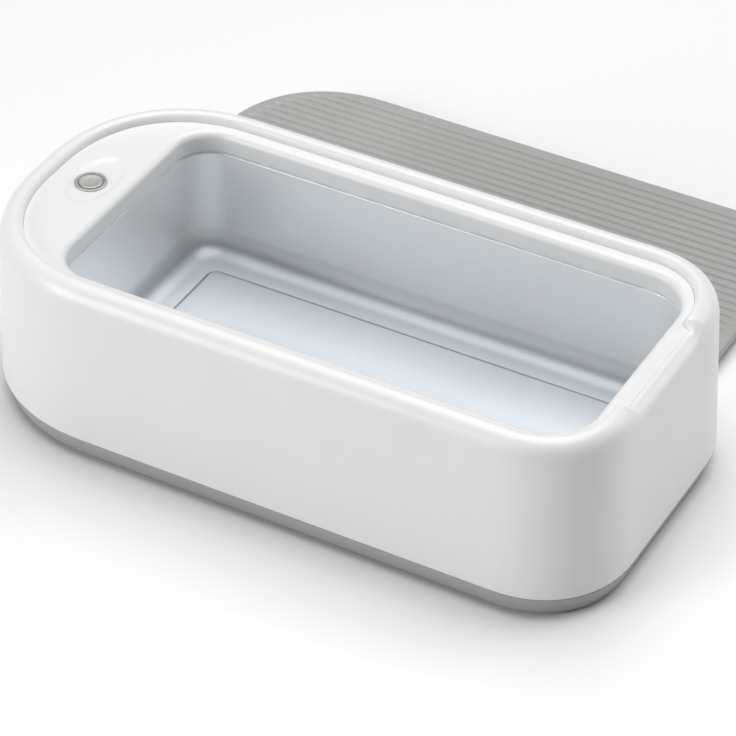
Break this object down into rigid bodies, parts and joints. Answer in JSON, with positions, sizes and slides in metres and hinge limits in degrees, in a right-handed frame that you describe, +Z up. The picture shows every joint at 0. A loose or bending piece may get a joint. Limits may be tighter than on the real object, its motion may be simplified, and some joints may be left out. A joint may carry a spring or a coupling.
{
  "type": "ultrasonic cleaner",
  "caption": "Small bench ultrasonic cleaner for jewellery: rounded white body, drawn steel tank, recessed metal push button, grey base, and a ribbed grey lid laid flat behind it.",
  "frame": {"origin": "on the surface that the rubber foot ring stands on, under the middle of the body", "axes": "+X along the body's length, from the button end to the finger notch; +Y to the back, where the lid lies; +Z up"},
  "size_m": [0.2, 0.1879, 0.0565],
  "materials": {
    "white_shell": "moulded ABS, satin gloss",
    "grey_base": "moulded ABS, fine matte texture",
    "grey_lid": "moulded ABS, satin",
    "stainless": "drawn stainless steel, satin",
    "silicone": "translucent white silicone",
    "rubber_foot": "matte",
    "zinc_steel": "zinc plated",
    "epoxy": "cured epoxy",
    "ceramic": "silvered piezo ceramic",
    "ferrite": "sintered ferrite",
    "circuit_board": "solder mask over glass epoxy",
    "copper_wire": "enamelled copper",
    "black_plastic": "moulded",
    "capacitor_sleeve": "shrink sleeve",
    "aluminium": "extruded",
    "connector_nylon": "natural nylon",
    "button_metal": "turned, satin",
    "frosted_clear": "frosted polycarbonate",
    "wire_insulation": "PVC",
    "nickel": "nickel plated"
  },
  "bodies": {
    "housing": {"outer_housing": "white_shell", "top_deck": "white_shell", "base_cover": "grey_base", "cleaning_tank": "stainless", "tank_gasket": "silicone", "tank_clamps": "zinc_steel", "clamp_screws": "zinc_steel", "tank_support_pads": "silicone", "transducer_bond": "epoxy", "transducer_disc": "ceramic", "tank_thermistor": "epoxy", "transducer_wires": "wire_insulation", "driver_board": "circuit_board", "transformer_core": "ferrite", "transformer_winding": "copper_wire", "transformer_bobbin": "black_plastic", "toroid_core": "ferrite", "toroid_winding": "copper_wire", "bulk_capacitors": "capacitor_sleeve", "film_capacitor": "capacitor_sleeve", "heatsink": "aluminium", "power_transistors": "black_plastic", "driver_chip": "black_plastic", "board_connectors": "connector_nylon", "button_bezel": "button_metal", "light_guide": "frosted_clear", "button_seal": "silicone", "control_board": "circuit_board", "board_screws": "zinc_steel", "tact_switch": "black_plastic", "microcontroller": "black_plastic", "status_led": "frosted_clear", "board_ribbon": "wire_insulation", "power_jack": "black_plastic", "jack_pin": "nickel", "jack_nut": "nickel", "jack_wires": "wire_insulation", "base_screws": "zinc_steel", "rubber_foot_ring": "rubber_foot"},
    "button": {"button_cap": "button_metal", "switch_plunger": "black_plastic"},
    "lid_link": {"ferrite_sleeve": "ferrite"},
    "lid": {"lid_panel": "grey_lid"}
  },
  "joints": [
    {"name": "button_press", "type": "slide", "parent": "housing", "child": "button", "axis": [0, 0, -1], "range_m": [0, 0.0005], "stiffness_N_per_m": 2000, "springref_m": -0.0002},
    {"name": "lid_swing", "type": "hinge", "parent": "housing", "child": "lid_link", "pos_m": [-0.052, -0.014, 0.0075], "axis": [0.9956, 0.0932, 0], "range_deg": [0, 235.93]},
    {"name": "lid_level", "type": "hinge", "parent": "lid_link", "child": "lid", "pos_m": [-0.05523, 0.0205, -0.04375], "axis": [0.9956, 0.0932, 0], "range_deg": [-235.93, 0]}
  ],
  "couplings": [
    {"joint": "lid_level", "follows": "lid_swing", "ratio": -1}
  ]
}
